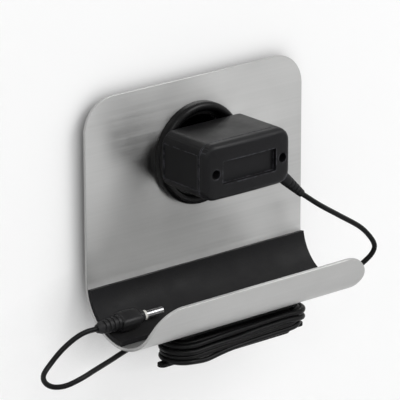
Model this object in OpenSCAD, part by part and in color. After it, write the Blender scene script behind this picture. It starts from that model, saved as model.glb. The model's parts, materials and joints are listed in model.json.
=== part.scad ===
// Phone charging station: a steel tray that hangs on the plug of a charger.
// The origin is midway between the plug's two pins, where they leave its nose.
// +Y points into the wall, -Y to the front, +Z up. The sheet's back lies on the wall.

/* [Holder] */
// Width of the steel sheet
sheet_w = 125; // [90:1:160]
// Thickness of the steel sheet
sheet_t = 1.5; // [1:0.1:2]
// Height of the flat back above the tray's bend
back_h = 83; // [75:1:110]
// Height of the collar's hole above the tray's bend
hole_height = 47.7; // [40:0.1:56]
// Outside radius of the tray's bend
bend_r = 24.7; // [20:0.1:32]
// Angle that the sheet bends through
bend_angle = 158; // [130:1:170]
// Length of the straight lip at the tray's front
lip_len = 8.5; // [6:0.5:16]
// Radius of the sheet's four corners
corner_r = 15.5; // [6:0.5:20]

/* [Liner] */
// Thickness of the mat in the tray
liner_t = 2; // [1.6:0.1:3]
// Angle below the horizontal at which the mat starts
liner_start = 8.3; // [0:0.1:20]
// Angle at which the mat ends, past the tray's lowest line
liner_end = 92; // [80:1:125]

/* [Collar] */
// Outside radius of the collar's ring
collar_r = 23.6; // [22:0.1:27]
// Width of the ring's rounded band
collar_band = 4.4; // [3:0.1:5]
// How far the ring stands in front of the sheet
collar_proud = 4.7; // [3.4:0.1:7]
// Outside radius of the sleeve that enters the socket
sleeve_r = 18.9; // [18.5:0.1:20]
// Wall of the sleeve
sleeve_wall = 1.4; // [1:0.1:1.6]
// Length of the sleeve behind the sheet
sleeve_len = 12; // [6:0.5:15]
// Thickness of the sleeve's floor, which fits round the plug's nose
floor_t = 1.6; // [1:0.1:3]

/* [Charger] */
// Width of the housing
charger_w = 49.5; // [46:0.5:60]
// Height of the housing
charger_h = 26; // [24:0.5:34]
// Depth of the housing from its rear face to its front
charger_d = 30.8; // [29:0.2:40]
// Depth of the front cover
cover_d = 5; // [4.5:0.1:7]
// Wall of the housing
housing_wall = 2; // [1.6:0.1:2.4]
// Radius of the housing's long edges
housing_r = 5; // [3:0.1:6]
// Radius round the front face
front_r = 3; // [1:0.1:3.5]
// Sideways distance of the housing's centre from the pins
charger_off_x = 0.8; // [0:0.1:2]
// Height of the housing's centre above the pins
charger_off_z = 2.2; // [0:0.1:3]
// Width of the recess in the front face
recess_w = 30.6; // [20:0.2:31]
// Height of the recess in the front face
recess_h = 10.4; // [6:0.2:12]
// Depth of the recess in the front face
recess_depth = 2.2; // [0.5:0.1:2.4]
// Distance between the two housing screws
screw_pitch = 38.2; // [36:0.1:38.8]
// Radius of the holes that the housing screws sit in
screw_well_r = 2.2; // [2:0.1:2.4]

/* [Plug] */
// Depth of the socket's recess, from the wall to the socket's floor
socket_depth = 17; // [14:0.5:18]
// Width of the plug's nose
nose_w = 33.4; // [31:0.1:34]
// Height of the plug's nose
nose_h = 13.6; // [12:0.1:14]
// Distance between the two pins
pin_pitch = 19; // [18.6:0.1:19.2]
// Radius of a pin
pin_r = 2; // [2:0.1:2.4]
// Length of a pin
pin_len = 19; // [18:0.5:20]
// Length of the sleeve on a pin
pin_sleeve_len = 10; // [8:0.5:11]

/* [Winder and cord] */
// Overall length of the winder
winder_len = 84; // [76:1:100]
// Width of the winder's bottom plate
winder_w = 10.4; // [10:0.2:18]
// Free height left for the wound cord, above and below it together
hank_room = 0.6; // [0.6:0.1:4]
// Radius of the winder's two posts
post_r = 5; // [4:0.1:6]
// Distance between the winder's two posts
post_pitch = 56; // [46:0.5:60]
// Sideways distance of the winder from the middle of the sheet
winder_off_x = 1; // [-4:0.5:4]
// Diameter of the cord
cord_d = 2.4; // [2:0.1:2.6]
// Turns of cord side by side on the winder
cord_turns_deep = 2; // [1:1:3]
// Turns of cord one above the other on the winder
cord_turns_high = 4; // [2:1:4]

/* [Connector] */
// Length of the connector's grip
grip_len = 13.5; // [11:0.5:18]
// Width of the connector's grip
grip_w = 8.4; // [7:0.1:10]
// Height of the connector's grip
grip_h = 6.8; // [6:0.1:7.4]
// Length of the connector's boot
boot_len = 12; // [9:0.5:16]
// Radius of the connector's barrel
barrel_r = 1.75; // [1.5:0.05:2.5]
// Length of the connector's barrel
barrel_len = 9.5; // [7:0.5:12]

/* [Hidden] */
$fn = 64;

// Clearance between pieces that seat on a curve, or that pass through one another
seat_gap = 0.2;
// Clearance round a pin or a screw in its bore
pin_fit = 0.03;
// A cut runs this far past the face it opens
cut = 1;
// The arc of a cut corner is set in by this much
corner_bite = 0.05;

// Planes of the holder
wall_y = -socket_depth;
sheet_front_y = wall_y - sheet_t;
bend_z = -hole_height;
bend_y = wall_y - bend_r;
tray_z = bend_z - bend_r;
tray_inner_r = bend_r - sheet_t;
hole_r = sleeve_r + 0.3;

// Liner
liner_outer_r = tray_inner_r - seat_gap;
liner_inner_r = liner_outer_r - liner_t;

// Collar
sleeve_inner_r = sleeve_r - sleeve_wall;
ring_centre_r = collar_r - collar_band / 2;
ring_edge_y = collar_proud - collar_band / 2;
collar_shelf = 1.5;

// Housing
charger_rear_y = sheet_front_y - collar_proud - seat_gap;
charger_front_y = charger_rear_y - charger_d;
parting_y = charger_front_y + cover_d;
parting_gap = 0.4;
front_crown = 0.6;
crown_r = pow(charger_w / 2, 2) / (2 * front_crown);
rear_r = 1.2;
tongue_len = 2;
tongue_t = 0.9;
panel_depth = 0.5;
panel_border = 1.4;
recess_floor = 1.6;
cavity_w = charger_w - 2 * housing_wall;
cavity_h = charger_h - 2 * housing_wall;
cavity_r = housing_r - housing_wall;
cavity_rear_y = charger_rear_y - housing_wall;
cavity_front_y = charger_front_y + housing_wall;
detail_x = 0.5;
detail_z = -0.5;

// Housing screws
boss_r = 3;
boss_meet_y = parting_y + 4;
well_floor_y = boss_meet_y - 2;
screw_r = 1.1;
screw_head_r = 2;
screw_head_h = 1.5;
screw_len = 12;

// Pins
pin_core_r = 1.35;
pin_sleeve_r = pin_r - 0.2;
pin_shoulder = 0.5;
pin_head_r = 2.6;
pin_head_h = 1.8;
pin_tip_r = 1.2;
strip_t = 0.6;
strip_w = 3.4;

// Circuit board, placed from the middle of the housing
board_t = 1.6;
board_side_gap = 0.8;
board_w = cavity_w - 2 * board_side_gap;
board_d = 17.5;
board_rear_y = cavity_rear_y - 1.6;
rail_h = 1.6;
rail_w = 2.2;
board_z = -cavity_h / 2 + rail_h;
board_top = board_z + board_t;
core_x = 0.5;
core_y = -12;
core_w = 15;
core_h = 13;
core_t = 4;
coil_r = 5.2;

// Strain relief of the charger
relief_angle = 42;
relief_len = 15.5;
relief_r = 2.8;
relief_end_r = 1.8;
relief_neck_r = 2.4;
relief_flange_r = 3.5;
relief_flange_t = 1.4;
relief_in = 1.2;
lead_r = 0.55;
relief_root = [charger_off_x + charger_w / 2 - housing_r, parting_y,
               charger_off_z - charger_h / 2 + housing_r];
relief_dir = [cos(relief_angle), 0, -sin(relief_angle)];
relief_end = relief_root + (housing_r + relief_len) * relief_dir;

// Winder and hank
saddle_t = 1.6;
saddle_r = bend_r + seat_gap + saddle_t;
saddle_angle = 14;
plate_t = 1.6;
web_t = 3;
prong_r = 2.3;
winder_screw_r = 1.45;
winder_screw_len = 11;
winder_head_r = 2.8;
winder_head_h = 1.2;
// The flat underside of a screw's head rests this far above the curved tray
head_lift = tray_inner_r - sqrt(pow(tray_inner_r, 2) - pow(winder_head_r, 2)) + pin_fit;
hank_build = cord_turns_deep * cord_d;
hank_h = cord_turns_high * cord_d;
hank_lift = 0.5;
// From the tray's lowest line to the top of the bottom plate
winder_drop = seat_gap + saddle_t + hank_h + hank_room;
plate_top_z = tray_z - winder_drop;
hank_inner_r = post_r + 0.3;
hank_outer_r = hank_inner_r + hank_build;
// Where the cord's two stretches meet the hank: in line with its back, just clear of its round ends
cord_gap = 0.3;
entry_reach = sqrt(pow(hank_outer_r, 2) - pow(hank_outer_r - cord_d, 2)) + cord_gap;
entry_y = bend_y + hank_outer_r - cord_d / 2;
hank_right = [winder_off_x + post_pitch / 2 + entry_reach, entry_y, -78.2];
hank_left = [winder_off_x - post_pitch / 2 - entry_reach, entry_y, -77.4];

// Connector: its axis runs along X, resting on the liner
connector_y = -34;
connector_x = -69.3;
connector_rest_r = liner_inner_r - grip_h / 2 - 0.3;
connector_z = bend_z - sqrt(pow(connector_rest_r, 2) - pow(connector_y - bend_y, 2));
connector_tilt = asin((connector_y - bend_y) / connector_rest_r);
boot_r = 3;
boot_end_r = 1.9;
grip_x = connector_x + boot_len;
grip_end_x = grip_x + grip_len;
shoulder_len = 2;
insulator_len = 1.6;
barrel_bore_r = 0.9;

// Route of the cord's right stretch, from the charger's strain relief to the winder
right_route = [[46, -50, -27], [58.5, -50, -35], [70, -50.5, -42.5], [76, -51, -48.5],
               [79, -51, -53.5], [78.5, -50, -57.5], [75.5, -48.5, -61], [71.5, -46.5, -64.5],
               [68.5, -43, -68.5], [65.5, -39, -72.8], [60.5, -35.3, -75.9], [53.5, -33.2, -77.5],
               [45, -32.8, -78.1]];
// Route of the cord's left stretch, from the winder to the connector
left_route = [[-42, -33.4, -76.8], [-49.5, -35.8, -75.5], [-56, -38.7, -74.8], [-62, -41.2, -74.6],
              [-69, -43.5, -75], [-80.6, -47.9, -75], [-91, -50.3, -76.1], [-98.3, -49.2, -77.8],
              [-102.2, -45.5, -78.5], [-102.9, -40.6, -77.9], [-100.4, -36.2, -76.2], [-94.6, -33.9, -73],
              [-88, -33.4, -68.5], [-81.2, -33.9, -64.7], [-75.5, -34.2, -63.1]];

// Lay a profile on its side: its X becomes Y, its Y becomes Z, and it grows along +X
module along_x() rotate([90, 0, 90]) children();

// Stand a profile up: its X stays X, its Y becomes Z, and it grows to the front
module to_front() rotate([90, 0, 0]) children();

// Stand a profile up so that it grows to the wall
module to_wall() rotate([-90, 0, 0]) children();

// A rectangle with round corners, centred
module rounded_rect(w, h, r) {
  square([w - 2 * r, h], center = true);
  square([w, h - 2 * r], center = true);
  for (sx = [-1, 1], sy = [-1, 1]) translate([sx * (w / 2 - r), sy * (h / 2 - r)]) circle(r);
}

// An oval with straight sides, centred, w overall
module stadium(w, h) {
  square([w - h, h], center = true);
  for (s = [-1, 1]) translate([s * (w - h) / 2, 0]) circle(h / 2);
}

// Draw the children twice, on both sides of the middle plane
module both_sides() for (s = [0, 1]) mirror([s, 0, 0]) children();

// What a rounded corner leaves over: a prism d deep, with the corner at the origin.
// The arc crosses the two edges at a slight angle, by corner_bite.
module corner_waste(r, d)
  linear_extrude(d) difference() {
    translate([-cut, -cut]) square(r + cut - corner_bite);
    translate([r - corner_bite, r - corner_bite]) circle(r);
  }

// Profile of the bend between two radii and two angles, from its own centre
module bend_profile(r_in, r_out, from_angle, to_angle) intersection() {
  difference() {
    circle(r_out, $fn = 180);
    circle(r_in, $fn = 180);
  }
  rotate(-from_angle) translate([-2 * r_out, -4 * r_out]) square(4 * r_out);
  rotate(-to_angle) translate([-2 * r_out, 0]) square(4 * r_out);
}

// Grow a profile of the bend along the whole of a width, centred
module along_tray(w) translate([-w / 2, bend_y, bend_z]) along_x() linear_extrude(w) children();

// Side view of the sheet: flat back, bend and straight lip
module sheet_profile() {
  translate([tray_inner_r, 0]) square([sheet_t, back_h]);
  bend_profile(tray_inner_r, bend_r, 0, bend_angle);
  rotate(-bend_angle) translate([tray_inner_r, -lip_len]) square([sheet_t, lip_len]);
}

module lip_corner()
  translate([-sheet_w / 2, bend_y, bend_z]) along_x() rotate([0, 0, -bend_angle])
    translate([tray_inner_r - 5, -lip_len, 0]) rotate([90, 0, 90]) corner_waste(corner_r, sheet_t + 8);

module top_corner()
  translate([-sheet_w / 2, wall_y + cut, bend_z + back_h])
    mirror([0, 0, 1]) to_front() corner_waste(corner_r, sheet_t + 2 * cut);

// Bent steel sheet: flat back, tray and lip in one piece
module holder_sheet() color("silver") difference() {
  along_tray(sheet_w) sheet_profile();
  both_sides() {
    top_corner();
    lip_corner();
  }
  translate([0, wall_y + cut, 0]) to_front() cylinder(r = hole_r, h = sheet_t + 2 * cut);
  winder_screw_places() cylinder(r = winder_screw_r + seat_gap, h = 4 * sheet_t, center = true);
}

// Mat in the tray, with pockets on its underside for the winder's screw heads
module tray_liner() color("#2b2b2c") difference() {
  along_tray(sheet_w - 2 * seat_gap) bend_profile(liner_inner_r, liner_outer_r, liner_start, liner_end);
  winder_screw_places() cylinder(r = winder_head_r + 0.3, h = head_lift + winder_head_h + seat_gap);
}

// Ring in the sheet's hole, with a sleeve that enters the socket's recess
// and a floor there that fits round the nose
module socket_collar() color("#151516") difference() {
  translate([0, sheet_front_y, 0]) to_front() rotate_extrude() {
    translate([ring_centre_r - collar_band / 2, 0]) square([collar_band, ring_edge_y]);
    translate([ring_centre_r, ring_edge_y]) circle(collar_band / 2);
    translate([sleeve_inner_r, 0]) square([ring_centre_r - sleeve_inner_r, collar_shelf]);
    translate([sleeve_inner_r, -sheet_t - sleeve_len])
      square([sleeve_wall, sheet_t + sleeve_len + collar_shelf]);
    translate([0, -sheet_t - sleeve_len]) square([sleeve_r - sleeve_wall / 2, floor_t]);
  }
  translate([0, wall_y + sleeve_len + cut, 0]) to_front() linear_extrude(floor_t + 2 * cut)
    stadium(nose_w + 2 * seat_gap, nose_h + 2 * seat_gap);
}

// Where the winder's screws stand, on the tray's inner surface
module winder_screw_places()
  for (s = [-1, 1]) translate([winder_off_x + s * post_pitch / 2, bend_y, tray_z + sheet_t]) children();

// Outline of the winder's bottom plate: an oval with a narrower prong at each end
module winder_plate() {
  stadium(post_pitch + winder_w, winder_w);
  stadium(winder_len, 2 * prong_r);
}

// Outline of the winder's two posts and the web between them
module winder_core() {
  square([post_pitch, web_t], center = true);
  for (s = [-1, 1]) translate([s * post_pitch / 2, 0]) circle(post_r);
}

// Bobbin under the tray: a saddle on the tray's curve, two posts, a web and a bottom plate
module cable_winder() color("#1c1c1d") difference() {
  union() {
    translate([winder_off_x, 0, 0]) along_tray(post_pitch + 2 * post_r + 2)
      bend_profile(bend_r + seat_gap, saddle_r, 90 - saddle_angle, 90 + saddle_angle);
    translate([winder_off_x, bend_y, plate_top_z - plate_t]) linear_extrude(plate_t) winder_plate();
    difference() {
      translate([winder_off_x, bend_y, plate_top_z - plate_t / 2]) linear_extrude(winder_drop + plate_t)
        winder_core();
      along_tray(sheet_w) circle(saddle_r - saddle_t / 2, $fn = 180);
    }
  }
  winder_screw_places() translate([0, 0, -winder_screw_len])
    cylinder(r = winder_screw_r + pin_fit, h = winder_screw_len);
}

// Two screws that hold the winder, their heads under the liner
module winder_screws() color("#8f9296") winder_screw_places() translate([0, 0, head_lift]) difference() {
  union() {
    cylinder(r = winder_head_r, h = winder_head_h);
    translate([0, 0, 0.5 - winder_screw_len]) cylinder(r = winder_screw_r, h = winder_screw_len);
  }
  translate([0, 0, winder_head_h - 0.7]) cylinder(r = 1.2, h = 1, $fn = 6);
}

// Outside of the charger's housing, rounded along its edges and round its front
module housing_form() translate([charger_off_x, charger_rear_y, charger_off_z]) intersection() {
  to_front() linear_extrude(charger_d) rounded_rect(charger_w, charger_h, housing_r);
  translate([0, 0, -charger_h / 2]) linear_extrude(charger_h) intersection() {
    edge_profile(charger_w);
    translate([0, crown_r - charger_d]) circle(crown_r, $fn = 360);
  }
  translate([-charger_w / 2, 0, 0]) along_x() linear_extrude(charger_w) rotate(-90) edge_profile(charger_h);
}

// Outline of the housing from rear to front across one width, front corners rounder
module edge_profile(w) {
  for (s = [-1, 1]) {
    translate([s * (w / 2 - front_r), front_r - charger_d]) circle(front_r);
    translate([s * (w / 2 - rear_r), -rear_r]) circle(rear_r);
  }
  translate([-w / 2, front_r - charger_d]) square([w, charger_d - front_r - rear_r]);
  translate([front_r - w / 2, -charger_d]) square([w - 2 * front_r, charger_d / 2]);
  translate([rear_r - w / 2, -charger_d / 2]) square([w - 2 * rear_r, charger_d / 2]);
}

// A block as wide as anything in the housing, from one plane to another
module slab(front_y, rear_y)
  translate([-charger_w, front_y, -charger_w]) cube([2 * charger_w, rear_y - front_y, 2 * charger_w]);

// The inside of the housing between two planes, smaller all round by inset
module cavity(front_y, rear_y, inset = 0)
  translate([charger_off_x, rear_y, charger_off_z]) to_front() linear_extrude(rear_y - front_y)
    rounded_rect(cavity_w - 2 * inset, cavity_h - 2 * inset, cavity_r);

module housing_screw_places()
  for (s = [-1, 1]) translate([charger_off_x + detail_x + s * screw_pitch / 2, 0, charger_off_z + detail_z])
    children();

// A round bar towards the front, between two planes
module bar(r, front_y, rear_y) translate([0, rear_y, 0]) to_front() cylinder(r = r, h = rear_y - front_y);

module pin_places() for (s = [-1, 1]) translate([s * pin_pitch / 2, 0, 0]) children();

// Local frame of the strain relief: Z out along its axis, from the housing's lower right corner
module at_relief()
  translate(relief_root) rotate([0, 90 + relief_angle, 0]) translate([0, 0, housing_r]) children();

module relief_pocket() at_relief() {
  translate([0, 0, -housing_r]) cylinder(r = relief_neck_r + seat_gap, h = housing_r + 4);
  translate([0, 0, -relief_in - relief_flange_t - seat_gap])
    cylinder(r = relief_flange_r + seat_gap, h = relief_flange_t + 2 * seat_gap);
}

// Recessed grip panels on the two end faces of the housing
module grip_panels() for (s = [-1, 1])
  translate([charger_off_x + s * charger_w / 2, (parting_y + charger_rear_y) / 2, charger_off_z])
    cube([2 * panel_depth, charger_d - cover_d - 2 * panel_border, charger_h - 2 * housing_r], center = true);

module board_rails() for (s = [-1, 1])
  translate([charger_off_x + s * (cavity_w - rail_w) / 2, board_rear_y - board_d / 2,
             charger_off_z - (cavity_h - rail_h) / 2])
    cube([rail_w, board_d, rail_h], center = true);

// Rear half of the housing, with the plug's nose, screw bosses and rails for the board
module charger_rear_shell() color("#222224") difference() {
  union() {
    difference() {
      intersection() {
        housing_form();
        slab(parting_y + parting_gap / 2, 0);
      }
      cavity(parting_y - cut, cavity_rear_y);
      grip_panels();
    }
    to_front() linear_extrude(-cavity_rear_y) stadium(nose_w, nose_h);
    housing_screw_places() bar(boss_r, boss_meet_y, cavity_rear_y + 0.5);
    board_rails();
  }
  housing_screw_places() bar(screw_r + pin_fit, boss_meet_y - cut, boss_meet_y + screw_len);
  pin_places() bar(pin_core_r + pin_fit, cavity_rear_y - cut, cut);
  relief_pocket();
}

// Front cover: recessed panel, screw wells, and a tongue that fits inside the rear half
module charger_front_cover() color("#262628") difference() {
  union() {
    difference() {
      intersection() {
        housing_form();
        slab(charger_front_y - cut, parting_y - parting_gap / 2);
      }
      cavity(cavity_front_y, 0);
    }
    difference() {
      cavity(cavity_front_y - 0.5, parting_y + tongue_len, seat_gap);
      cavity(cavity_front_y - cut, parting_y + tongue_len + cut, seat_gap + tongue_t);
    }
    intersection() {
      housing_screw_places() bar(boss_r, cavity_front_y - 0.5, boss_meet_y);
      cavity(cavity_front_y - cut, boss_meet_y - pin_fit, seat_gap);
    }
    translate([charger_off_x + detail_x - recess_w / 2 - recess_floor, cavity_front_y - 0.5,
               charger_off_z + detail_z - recess_h / 2 - recess_floor])
      cube([recess_w + 2 * recess_floor, recess_depth + recess_floor - housing_wall + 0.5,
            recess_h + 2 * recess_floor]);
  }
  translate([charger_off_x + detail_x, charger_front_y + recess_depth, charger_off_z + detail_z])
    to_front() linear_extrude(recess_depth + cut) rounded_rect(recess_w, recess_h, 0.6);
  housing_screw_places() {
    bar(screw_well_r, charger_front_y - cut, well_floor_y);
    bar(screw_r + seat_gap, charger_front_y, boss_meet_y + cut);
  }
  relief_pocket();
}

// Two self-tapping screws, at the bottom of the cover's wells
module housing_screws() color("#4a4b4d") housing_screw_places() difference() {
  union() {
    bar(screw_head_r, well_floor_y - screw_head_h, well_floor_y);
    bar(screw_r, well_floor_y - 0.5, well_floor_y + screw_len);
  }
  for (a = [0, 90]) translate([0, well_floor_y - screw_head_h, 0]) rotate([0, a, 0])
    cube([0.6, 1.6, 2.6], center = true);
}

// One pin of the plug: a head inside the housing, a shoulder on the nose, and a core inside its sleeve
module plug_pin() {
  to_wall() rotate_extrude() difference() {
    union() {
      translate([0, cavity_rear_y - pin_head_h]) square([pin_head_r, pin_head_h]);
      translate([0, cavity_rear_y - 0.5]) square([pin_core_r, pin_sleeve_len - cavity_rear_y + 1]);
      square([pin_r, pin_shoulder]);
      translate([0, pin_sleeve_len]) square([pin_r, pin_len - pin_sleeve_len - pin_tip_r]);
      translate([0, pin_len - pin_tip_r - 0.5]) square([pin_r - pin_tip_r, pin_tip_r + 0.5]);
      translate([pin_r - pin_tip_r, pin_len - pin_tip_r]) circle(pin_tip_r);
    }
    translate([-2 * pin_r, cavity_rear_y - cut - pin_head_h])
      square([2 * pin_r, 3 * pin_len - cavity_rear_y]);
  }
}

module plug_pin_left() color("#c9c6bd") translate([-pin_pitch / 2, 0, 0]) plug_pin();

module plug_pin_right() color("#c9c6bd") translate([pin_pitch / 2, 0, 0]) plug_pin();

// Insulating sleeves on the pins
module pin_sleeves() color("#1a1a1b") pin_places() difference() {
  bar(pin_sleeve_r, pin_shoulder + pin_fit, pin_sleeve_len - pin_fit);
  bar(pin_core_r + pin_fit, -cut, pin_sleeve_len + cut);
}

// Strips from the heads of the pins down to the board
module contact_strips() color("#b08d3e") pin_places() {
  strip_y = cavity_rear_y - pin_head_h;
  foot_z = charger_off_z + board_top;
  foot_len = 2.2;
  translate([-strip_w / 2, strip_y - strip_t, foot_z]) cube([strip_w, strip_t, pin_head_r - foot_z]);
  translate([-strip_w / 2, strip_y - foot_len, foot_z]) cube([strip_w, foot_len, strip_t]);
}

// Local frame of the board: the middle of the housing, on the board's top
module on_board(x, y) translate([charger_off_x + x, board_rear_y + y, charger_off_z + board_top]) children();

module circuit_board() color("#1f5a3a") difference() {
  on_board(-board_w / 2, -board_d) translate([0, 0, -board_t]) cube([board_w, board_d, board_t]);
  for (s = [-1, 1]) on_board(s * 9, -14) cylinder(r = 0.6, h = 3 * board_t, center = true);
}

// Ferrite core: two E halves that close round the coil
module transformer_core() color("#3a3b3f") on_board(core_x, core_y) difference() {
  translate([-core_w / 2, -core_t / 2, 0]) cube([core_w, core_t, core_h]);
  for (s = [-1, 1]) translate([s * 4.1, 0, core_h / 2]) cube([3.2, 2 * core_t, 8.6], center = true);
}

// Coil on its bobbin, round the core's middle leg
module transformer_coil() color("#c9a03a") on_board(core_x, core_y) translate([0, 0, core_h / 2]) difference() {
  union() {
    cylinder(r = coil_r, h = 6.6, center = true);
    for (s = [-1, 1]) translate([0, 0, s * 3.7]) cylinder(r = coil_r + 0.3, h = 0.8, center = true);
  }
  cube([5.2, core_t + 0.2, 12], center = true);
}

// An upright capacitor can with a groove near its foot
module capacitor(r, h) rotate_extrude() difference() {
  square([r, h]);
  translate([r, 1.8]) circle(0.4);
}

module input_capacitor() color("#20242c") on_board(-11.4, -13.2) capacitor(4, 13);

module output_capacitor() color("#1d2f57") on_board(11.8, -12.8) capacitor(3, 11);

// Disc capacitor that stands on edge between the two sides of the supply
module safety_capacitor() color("#2d62b0") on_board(2.2, -4.4) translate([0, 0, 4.1]) to_front()
  cylinder(r = 4, h = 2.2, center = true);

// Drum choke
module input_choke() color("#2c2c30") on_board(-10.6, -5.6) rotate_extrude() {
  square([2, 7]);
  square([3, 1.2]);
  translate([0, 5.8]) square([3, 1.2]);
}

// A resistor or diode that lies on the board along Y
module axial_body(r, len) translate([0, len / 2, r]) to_front() cylinder(r = r, h = len);

module fuse_resistor() color("#4f7f5f") on_board(-18.6, -8) axial_body(1.4, 8);

module rectifier_diodes() color("#1b1b1c") for (i = [0:3])
  on_board(16.4 + (i % 2) * 3.2, -4.5 - floor(i / 2) * 7.4) axial_body(1.2, 5);

module optocoupler() color("#202022") on_board(8.8, -6) translate([-2.3, -3.2, 0]) cube([4.6, 6.4, 3.5]);

// Flat-faced transistor, upright
module switch_transistor() color("#202022") on_board(-4.6, -4) difference() {
  cylinder(r = 2.3, h = 5);
  translate([-3, 1.2, -1]) cube([6, 3, 7]);
}

module output_diode() color("#1b1b1c") on_board(12.9, -6.4) axial_body(1.4, 5.4);

// Leads from the strain relief's inner end to the board's front edge
module output_leads() color("#8c2f2a") for (s = [-1, 1]) {
  lead_x = charger_off_x + 17.4 + s * 1.3;
  lead_z = charger_off_z + board_top + lead_r;
  translate([lead_x, board_rear_y - board_d + 3, lead_z]) to_front() cylinder(r = lead_r, h = 5.2);
}

// Tapered boot where the cord leaves the housing, with a flange held between its halves
module charger_strain_relief() color("#1d1d1e") {
  difference() {
    at_relief() rotate_extrude() difference() {
      polygon([[0, -relief_in], [relief_r, -relief_in], [relief_r, 2.5], [relief_end_r, relief_len],
               [0, relief_len]]);
      for (i = [0:3]) translate([relief_r + 0.1 - i * 0.19, 4.6 + i * 2.4]) square([1, 0.8], center = true);
    }
    housing_form();
  }
  at_relief() translate([0, 0, -relief_in - relief_flange_t]) {
    cylinder(r = relief_flange_r, h = relief_flange_t);
    cylinder(r = relief_neck_r, h = relief_in + relief_flange_t + 1);
  }
}

// One closed solid of the outer shape of the wound cord
module cord_hank() color("#1b1b1c")
  translate([winder_off_x, bend_y, plate_top_z + hank_lift]) linear_extrude(hank_h) difference() {
    stadium(post_pitch + 2 * hank_outer_r, 2 * hank_outer_r);
    stadium(post_pitch + 2 * hank_inner_r, 2 * hank_inner_r);
  }

function spline(a, b, c, d, t) =
  0.5 * (2 * b + (c - a) * t + (2 * a - 5 * b + 4 * c - d) * t * t + (3 * b - a - 3 * c + d) * t * t * t);

// Points along a route, steps of them to each stretch, with the two ends' directions kept
function along_route(p, steps) = concat(
  [for (i = [0:len(p) - 2], j = [0:steps - 1])
    spline(i > 0 ? p[i - 1] : 2 * p[0] - p[1], p[i], p[i + 1],
           i + 2 < len(p) ? p[i + 2] : 2 * p[i + 1] - p[i], j / steps)],
  [p[len(p) - 1]]);

function unit(v) = v / norm(v);
function heading(p, i) = unit(p[min(i + 1, len(p) - 1)] - p[max(i - 1, 0)]);

// A tube along a route: one ring of sides at each point, set square to a direction that it never takes
module tube(route, d, steps, first, last, side) {
  p = along_route(route, steps);
  sides = 8;
  dirs = [for (i = [0:len(p) - 1]) i == 0 ? first : i == len(p) - 1 ? last : heading(p, i)];
  rings = [for (i = [0:len(p) - 1])
    let (across = unit(cross(dirs[i], side)), over = cross(dirs[i], across))
    [for (k = [0:sides - 1]) p[i] + d / 2 * (cos(360 * k / sides) * across + sin(360 * k / sides) * over)]];
  polyhedron([for (r = rings) each r], concat(
    [[for (k = [0:sides - 1]) k]],
    [for (i = [0:len(p) - 2], k = [0:sides - 1])
      [i * sides + (k + 1) % sides, i * sides + k, (i + 1) * sides + k, (i + 1) * sides + (k + 1) % sides]],
    [[for (k = [sides - 1:-1:0]) (len(p) - 1) * sides + k]]));
}

module cord_right() color("#1b1b1c")
  tube(concat([relief_end], right_route, [hank_right]), cord_d, 2, relief_dir, [-1, 0, 0],
       [0.3, 0.8, 0.5]);

module cord_left() color("#1b1b1c")
  tube(concat([hank_left], left_route, [[connector_x, connector_y, connector_z]]), cord_d, 2,
       [-1, 0, 0], [1, 0, 0], [-0.3, 0, 1]);

// Local frame of the connector: Z along its axis to the right, tilted to lie on the mat
module on_connector(x)
  translate([x, connector_y, connector_z]) rotate([connector_tilt, 0, 0]) rotate([90, 0, 90]) children();

// Ribbed boot on the cord's end
module connector_relief() color("#202021") on_connector(connector_x) rotate_extrude() difference() {
  polygon([[0, 0], [boot_end_r, 0], [boot_r, boot_len - 2], [boot_r, boot_len], [0, boot_len]]);
  for (i = [0:3]) translate([boot_end_r + 0.35 + i * 0.26, 3 + i * 2.3]) square([0.9, 1], center = true);
}

// Moulded grip of the connector, narrower at its shoulder
module connector_body() color("#242425") on_connector(grip_x) {
  intersection() {
    linear_extrude(grip_len - shoulder_len) rounded_rect(grip_w, grip_h, 2.2);
    translate([-grip_w, 0, 0]) rotate([90, 0, 90]) linear_extrude(2 * grip_w)
      translate([0, (grip_len - shoulder_len) / 2]) rounded_rect(grip_h, grip_len - shoulder_len, 1.4);
  }
  translate([0, 0, grip_len - shoulder_len - 1.5]) cylinder(r = boot_r - 0.2, h = shoulder_len + 1.5);
}

// Ring that keeps the barrel clear of the grip
module connector_insulator() color("#d8d6d0") on_connector(grip_end_x) difference() {
  cylinder(r = barrel_r + 0.5, h = insulator_len);
  translate([0, 0, -cut]) cylinder(r = barrel_bore_r, h = insulator_len + 2 * cut);
}

// Metal barrel, open at its end
module connector_barrel() color("#c6c7c9") on_connector(grip_end_x + insulator_len) difference() {
  cylinder(r = barrel_r, h = barrel_len);
  translate([0, 0, 1]) cylinder(r = barrel_bore_r, h = barrel_len);
}

holder_sheet();
tray_liner();
socket_collar();
cable_winder();
winder_screws();
charger_rear_shell();
charger_front_cover();
housing_screws();
plug_pin_left();
plug_pin_right();
pin_sleeves();
contact_strips();
circuit_board();
transformer_core();
transformer_coil();
input_capacitor();
output_capacitor();
safety_capacitor();
input_choke();
fuse_resistor();
rectifier_diodes();
optocoupler();
switch_transistor();
output_diode();
output_leads();
charger_strain_relief();
cord_right();
cord_hank();
cord_left();
connector_relief();
connector_body();
connector_insulator();
connector_barrel();
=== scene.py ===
import json
import math
import bmesh
import bpy
from mathutils import Matrix, Vector


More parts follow.
